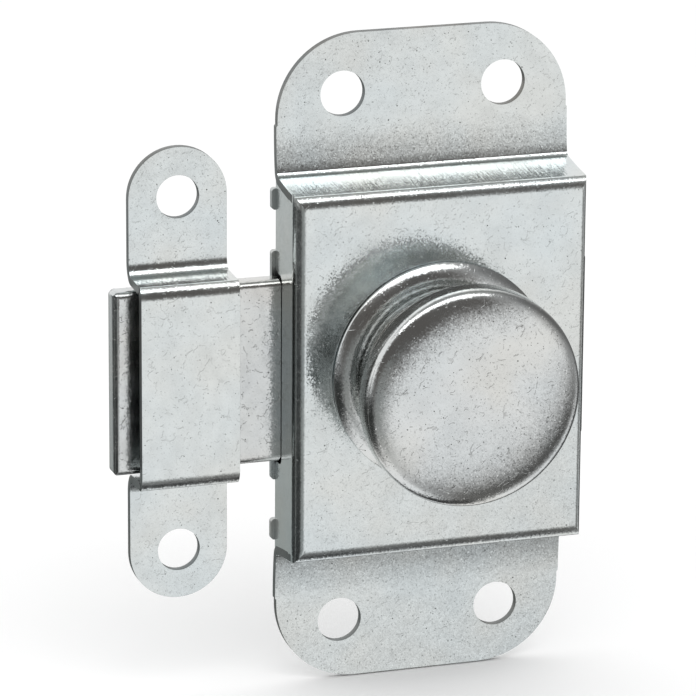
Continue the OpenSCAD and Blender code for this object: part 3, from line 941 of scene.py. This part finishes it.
@dataclass
class RoundKnob:
    """The pressed knob: a foot and neck in one shell, and a domed cap rolled round its head."""

    foot_radius: float = 13.5
    neck_radius: float = 8.2
    back_hole: float = 12.0
    base: float = 8.6
    foot_gap: float = 0.25
    bead: float = 3.84
    bead_top: float = 10.1
    bead_turn: tuple[float, float] = (48.0, 94.0)
    cove: float = 3.8
    head_radius: float = 13.25
    head_back: float = 17.1
    lip: float = 0.6
    band_top: float = 18.9
    crown_top: float = 21.5
    dome_power: float = 4.0
    sheet: float = 0.8
    roll: float = 0.8
    gap: float = 0.1
    chamfer: float = 0.1
    edge: float = 0.06
    edge_turn: float = 50.0
    steps: int = 160
    dome_steps: tuple[int, int] = (48, 20)
    roll_steps: int = 6
    bead_steps: tuple[int, int] = (20, 8)
    cove_steps: tuple[int, int] = (36, 28)

    def oval(self, bench: Bench, centre: Sequence[float], size: Sequence[float],
             start: float, sweep: float, steps: int) -> list[bmesh.types.BMVert]:
        """Draws part of an oval in the x and z plane.

        Args:
            bench: The mesh in the making.
            centre: Its centre, as radius and level.
            size: Half its width and half its height.
            start: Where it starts, in degrees from x towards z.
            sweep: How far it goes, in degrees.
            steps: Number of edges.

        Returns:
            The vertices in order.
        """
        verts = []
        for i in range(steps + 1):
            angle = math.radians(start + sweep * i / steps)
            verts.append(bench.point(centre[0] + size[0] * math.cos(angle), 0,
                                     centre[1] + size[1] * math.sin(angle)))
        return verts

    def dome(self, bench: Bench, radius: float, rise: float,
             steps: int) -> list[bmesh.types.BMVert]:
        """Draws the head's domed line, nearly flat in the middle and round at the shoulder.

        Args:
            bench: The mesh in the making.
            radius: Radius at the foot of the dome.
            rise: Height of the dome above the band.
            steps: Number of edges.

        Returns:
            The line's vertices, from the axis outwards.
        """
        verts = []
        for i in range(steps + 1):
            angle = math.pi / 2 * i / steps
            out = math.sin(angle) ** (2 / self.dome_power)
            up = math.cos(angle) ** (2 / self.dome_power)
            verts.append(bench.point(radius * out, 0, self.band_top + rise * up))
        return verts

    def build_cap(self) -> bpy.types.Object:
        """Builds the domed cap as one closed turned wall.

        Returns:
            The piece.
        """
        bench = Bench()
        r, rise = self.head_radius, self.crown_top - self.band_top
        line = self.dome(bench, r, rise, self.dome_steps[0])
        line += self.oval(bench, (r - self.roll, self.head_back + self.roll),
                          (self.roll, self.roll), 0, -90, self.roll_steps)
        line.append(bench.point(self.back_hole + self.chamfer, 0, self.head_back))
        line.append(bench.point(self.back_hole, 0, self.head_back + self.chamfer))
        line.append(bench.point(self.back_hole, 0, self.head_back + self.lip))
        line.append(bench.point(r - self.sheet, 0, self.head_back + self.lip))
        inner = self.dome(bench, r - self.sheet, rise - self.sheet, self.dome_steps[1])
        bench.chain(line + list(reversed(inner)))
        bench.turn_profile(self.steps)
        bench.face_out((0, 0, 1))
        return bench.finish("knob_head")

    def build_shell(self) -> bpy.types.Object:
        """Builds the foot, neck and back flange as one closed turned wall.

        Returns:
            The piece.
        """
        bench = Bench()
        t, low = self.sheet, self.base + self.foot_gap
        first, last = self.bead_turn
        foot = (self.foot_radius - self.bead * math.cos(math.radians(first)),
                self.bead_top - self.bead)
        line = [bench.point(self.foot_radius, 0, low)]
        line += self.oval(bench, foot, (self.bead, self.bead), first, last - first,
                          self.bead_steps[0])
        ridge = Vector((line[-1].co.x, line[-1].co.z))
        middle = (ridge.x, ridge.y + self.cove)
        deep = ridge.x - self.neck_radius
        line += self.oval(bench, middle, (deep, self.cove), -90, -180, self.cove_steps[0])[1:]
        top = middle[1] + self.cove
        end = self.head_radius - t - self.gap
        line.append(bench.point(end, 0, top))
        line.append(bench.point(end, 0, top + t))
        line += self.oval(bench, middle, (deep + t, self.cove + t), -270, 180,
                          self.cove_steps[1])
        inner = self.bead - t
        stop = math.degrees(math.asin((low - foot[1]) / inner))
        line += self.oval(bench, foot, (inner, inner), 90, stop - 90, self.bead_steps[1])
        bench.chain(line + line[:1])
        bench.turn_profile(self.steps)
        bench.face_out((0, 0, 1))
        return bench.finish("knob_foot")

    def dress(self, obj: bpy.types.Object, node: str) -> None:
        """Dresses one of the knob's pieces and puts it in its node's place.

        Args:
            obj: The piece.
            node: The CAD node that it stands for.
        """
        soften(obj, self.edge, angle=self.edge_turn)
        obj.data.materials.append(KNOB_ZINC.material())
        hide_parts(node)
        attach(obj, "knob")


@dataclass
class CadPieces:
    """The CAD nodes that stay, each with its edges broken and a finish of its own."""

    edge: float = 0.06
    weld: float = 0.002
    finishes: dict[str, Metal] = field(default_factory=lambda: {
        "back_plate": REAR_ZINC,
        "bolt_bar": BAR_ZINC,
        "driver_fork": INNER_STEEL,
        "fork_rivets": RIVET_ZINC,
        "spring_rivets": RIVET_ZINC,
        "knob_pin": RIVET_ZINC,
        "crank_pin": RIVET_ZINC,
        "knob_core": INNER_STEEL,
        "spindle": INNER_STEEL,
        "crank_arm": INNER_STEEL,
        "spring_washer": SPRING_BLUE,
        "detent_spring": SPRING_BLUE,
        "spindle_bush": TURNED_BRASS,
        "thrust_washer": TURNED_BRASS,
        "crank_roller": TURNED_BRASS,
    })

    def dress(self) -> None:
        """Dresses each node."""
        made: dict[str, bpy.types.Material] = {}
        for node, finish in self.finishes.items():
            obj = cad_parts[node]
            if finish.name not in made:
                made[finish.name] = finish.material()
            if not obj.material_slots:
                obj.data.materials.append(None)
            for slot in obj.material_slots:
                slot.link = "OBJECT"
                slot.material = made[finish.name]
            weld = obj.modifiers.new("weld", "WELD")
            weld.merge_threshold = self.weld * MM
            soften(obj, self.edge)
            LOG.info("dressed %s in %s", node, finish.name)


def facing(across: float, height: float, turn: float = 0.0) -> Matrix:
    """Axes of something that hangs round the lock and faces it.

    Args:
        across: Direction from the lock, in degrees to the right of straight ahead.
        height: Direction from the lock, in degrees up.
        turn: Turn in its own plane, in degrees.

    Returns:
        A turn whose columns point right, up and away from the lock.
    """
    a, h = math.radians(across), math.radians(height)
    aim = Vector((math.sin(a) * math.cos(h), -math.cos(a) * math.cos(h), math.sin(h)))
    right = Vector((math.cos(a), math.sin(a), 0.0))
    axes = Matrix((right, aim.cross(right), aim)).transposed()
    return (axes @ Matrix.Rotation(math.radians(turn), 3, "Z")).to_4x4()


@dataclass(frozen=True)
class Card:
    """An oval studio card that only the metal mirrors, with a soft edge.

    Its place, half widths and turn are in degrees as the lock sees them, and its distance is in
    metres.
    """

    name: str
    across: float
    height: float
    half: tuple[float, float]
    turn: float
    soft: float
    tone: Colour
    distance: float = 0.9
    edges: int = 96

    def hang(self) -> None:
        """Hangs the card, facing the lock."""
        axes = facing(self.across, self.height, self.turn)
        half = [self.distance * math.tan(math.radians(a)) for a in self.half]
        size = Matrix.Diagonal((*(h * (1 + self.soft) for h in half), 1.0, 1.0))
        place = axes @ Matrix.Translation((0, 0, self.distance)) @ size
        bm = bmesh.new()
        bmesh.ops.create_circle(bm, cap_ends=True, segments=self.edges, radius=1.0, matrix=place)
        obj = add_mesh(self.name, bm)
        for flag in ("visible_camera", "visible_diffuse", "visible_shadow",
                     "visible_transmission", "visible_volume_scatter"):
            setattr(obj, flag, False)
        p = Palette(self.name + "_cloth")
        parts = []
        for column, reach in zip((0, 1), half):
            way = axes.col[column].to_3d() / reach
            parts.append(p.node("ShaderNodeVectorMath", {0: p.place, 1: way},
                                operation="DOT_PRODUCT").outputs["Value"])
        spot = p.node("ShaderNodeCombineXYZ", {"X": parts[0], "Y": parts[1]})
        out = p.node("ShaderNodeVectorMath", {0: spot.outputs[0]},
                     operation="LENGTH").outputs["Value"]
        mask = p.ramp(out, 1 - self.soft, 1 + self.soft, 1.0, 0.0)
        clear = p.node("ShaderNodeBsdfTransparent")
        cloth = p.node("ShaderNodeEmission", {"Color": (*self.tone, 1.0), "Strength": 1.0})
        both = p.node("ShaderNodeMixShader", {0: mask, 1: clear.outputs[0], 2: cloth.outputs[0]})
        obj.data.materials.append(p.close(both.outputs[0]))


CARDS = (
    Card("card_above", -14.3, 17.7, (44.4, 31.8), 7.8, 0.37, (0.12, 0.113, 0.108)),
    Card("card_left", -83.9, -28.0, (60.0, 24.9), 0.2, 0.57, (0.04, 0.042, 0.041), 0.95),
    Card("card_left_edge", -18.0, -18.0, (13.0, 20.0), 0.0, 0.9, (0.30, 0.31, 0.305), 0.87),
    Card("card_left_gap", -86.0, -17.0, (4.5, 30.0), 0.0, 0.5, (0.17, 0.175, 0.17), 0.85),
    Card("card_low_right", 44.1, -32.6, (15.2, 36.1), -52.6, 0.9, (0.08, 0.078, 0.075)),
    Card("card_right", 91.5, 19.0, (33.5, 60.0), 60.0, 0.9, (0.16, 0.16, 0.16), 0.95),
    Card("card_right_behind", 138.0, -30.0, (44.0, 30.0), 0.0, 0.4, (0.09, 0.09, 0.09)),
    Card("card_left_behind", -162.0, -28.0, (30.0, 17.0), 0.0, 0.8, (0.30, 0.325, 0.315)),
    Card("card_overhead", 60.0, 84.0, (50.0, 18.0), -60.0, 0.5, (0.30, 0.31, 0.30), 1.1),
    Card("card_below", 60.0, -88.0, (46.4, 12.5), -60.0, 0.53, (0.05, 0.05, 0.05), 0.95),
)


@dataclass
class Studio:
    """Camera, floor, light and the cards that the metal mirrors.

    Angles are in degrees and lengths in metres, but for the camera's lens and sensor.
    """

    azimuth: float = -18.284
    elevation: float = 16.658
    roll: float = 0.404
    distance: float = 0.6
    lens: float = 258.55
    sensor: float = 36.0
    shift_right: float = -0.008345
    shift_up: float = 0.000387
    floor_level: float = -0.0402
    floor_reach: float = 3.0
    floor_tone: Colour = (0.95, 0.95, 0.95)
    box_across: float = -11.0
    box_height: float = 52.5
    box_turn: float = 5.0
    box_half: tuple[float, float] = (35.0, 11.5)
    box_distance: float = 0.8
    box_radiance: float = 1.8
    surroundings: float = 1.0

    def camera(self) -> None:
        """Sets the camera up at the photograph's place."""
        a, e = math.radians(self.azimuth), math.radians(self.elevation)
        back = Vector((math.sin(a) * math.cos(e), -math.cos(a) * math.cos(e), math.sin(e)))
        right = Vector((math.cos(a), math.sin(a), 0.0))
        up = back.cross(right)
        turn = math.radians(self.roll)
        right_turned = right * math.cos(turn) + up * math.sin(turn)
        up_turned = up * math.cos(turn) - right * math.sin(turn)
        place = back * self.distance + right_turned * self.shift_right + up_turned * self.shift_up
        data = bpy.data.cameras.new("camera")
        data.lens = self.lens
        data.sensor_width = self.sensor
        camera = add_object("camera", data)
        axes = Matrix((right_turned, up_turned, back)).transposed()
        camera.matrix_world = Matrix.Translation(place) @ axes.to_4x4()
        bpy.context.scene.camera = camera

    def floor(self) -> None:
        """Lays the floor under the lock.

        The metal looks past the floor at the white surroundings and the cards, as it would on a
        wall.
        """
        bm = bmesh.new()
        bmesh.ops.create_grid(bm, x_segments=1, y_segments=1, size=self.floor_reach,
                              matrix=Matrix.Translation((0, 0, self.floor_level)))
        obj = add_mesh("floor", bm)
        p = Palette("floor_white")
        surface = p.node("ShaderNodeBsdfDiffuse", {"Color": (*self.floor_tone, 1.0)})
        obj.data.materials.append(p.close(surface.outputs[0]))
        obj.visible_glossy = False

    def soft_box(self) -> None:
        """Hangs the wide oval soft box above the camera, pointing at the lock."""
        half = [self.box_distance * math.tan(math.radians(a)) for a in self.box_half]
        data = bpy.data.lights.new("soft_box", "AREA")
        data.shape = "ELLIPSE"
        data.size, data.size_y = 2 * half[0], 2 * half[1]
        data.energy = self.box_radiance * math.pi * math.pi * half[0] * half[1]
        lamp = add_object("soft_box", data)
        lamp.matrix_world = (facing(self.box_across, self.box_height, self.box_turn)
                             @ Matrix.Translation((0, 0, self.box_distance)))

    def world(self) -> None:
        """Makes the white surroundings and the plain light that comes from them."""
        world = bpy.data.worlds.new("surroundings")
        world.use_nodes = True
        w = Wiring(world.node_tree)
        path = w.node("ShaderNodeLightPath").outputs
        seen = w.maths("MAXIMUM", path["Is Camera Ray"], path["Is Glossy Ray"])
        seen = w.maths("MAXIMUM", seen, path["Is Transmission Ray"])
        plain = w.node("ShaderNodeBackground", {"Color": WHITE, "Strength": self.surroundings})
        white = w.node("ShaderNodeBackground", {"Color": WHITE, "Strength": 1.0})
        mix = w.node("ShaderNodeMixShader", {0: seen, 1: plain.outputs[0], 2: white.outputs[0]})
        w.node("ShaderNodeOutputWorld", {"Surface": mix.outputs[0]})
        bpy.context.scene.world = world

    def build(self) -> None:
        """Sets the whole studio up."""
        self.camera()
        self.floor()
        for card in CARDS:
            card.hang()
        self.soft_box()
        self.world()
        bpy.context.scene.view_settings.view_transform = "Standard"


def main() -> None:
    """Sets up the studio, then builds and dresses every piece."""
    logging.basicConfig(level=logging.INFO, format="%(message)s")
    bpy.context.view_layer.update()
    Studio().build()
    LOG.info("studio ready")
    case = CasePressing()
    case.dress(case.build())
    LOG.info("case pressing ready")
    keeper = KeeperStrap()
    keeper.dress(keeper.build())
    LOG.info("keeper pressing ready")
    knob = RoundKnob()
    knob.dress(knob.build_cap(), "knob_cap")
    LOG.info("knob head ready")
    knob.dress(knob.build_shell(), "knob_shell")
    LOG.info("knob foot ready")
    CadPieces().dress()


if __name__ == "__main__":
    main()
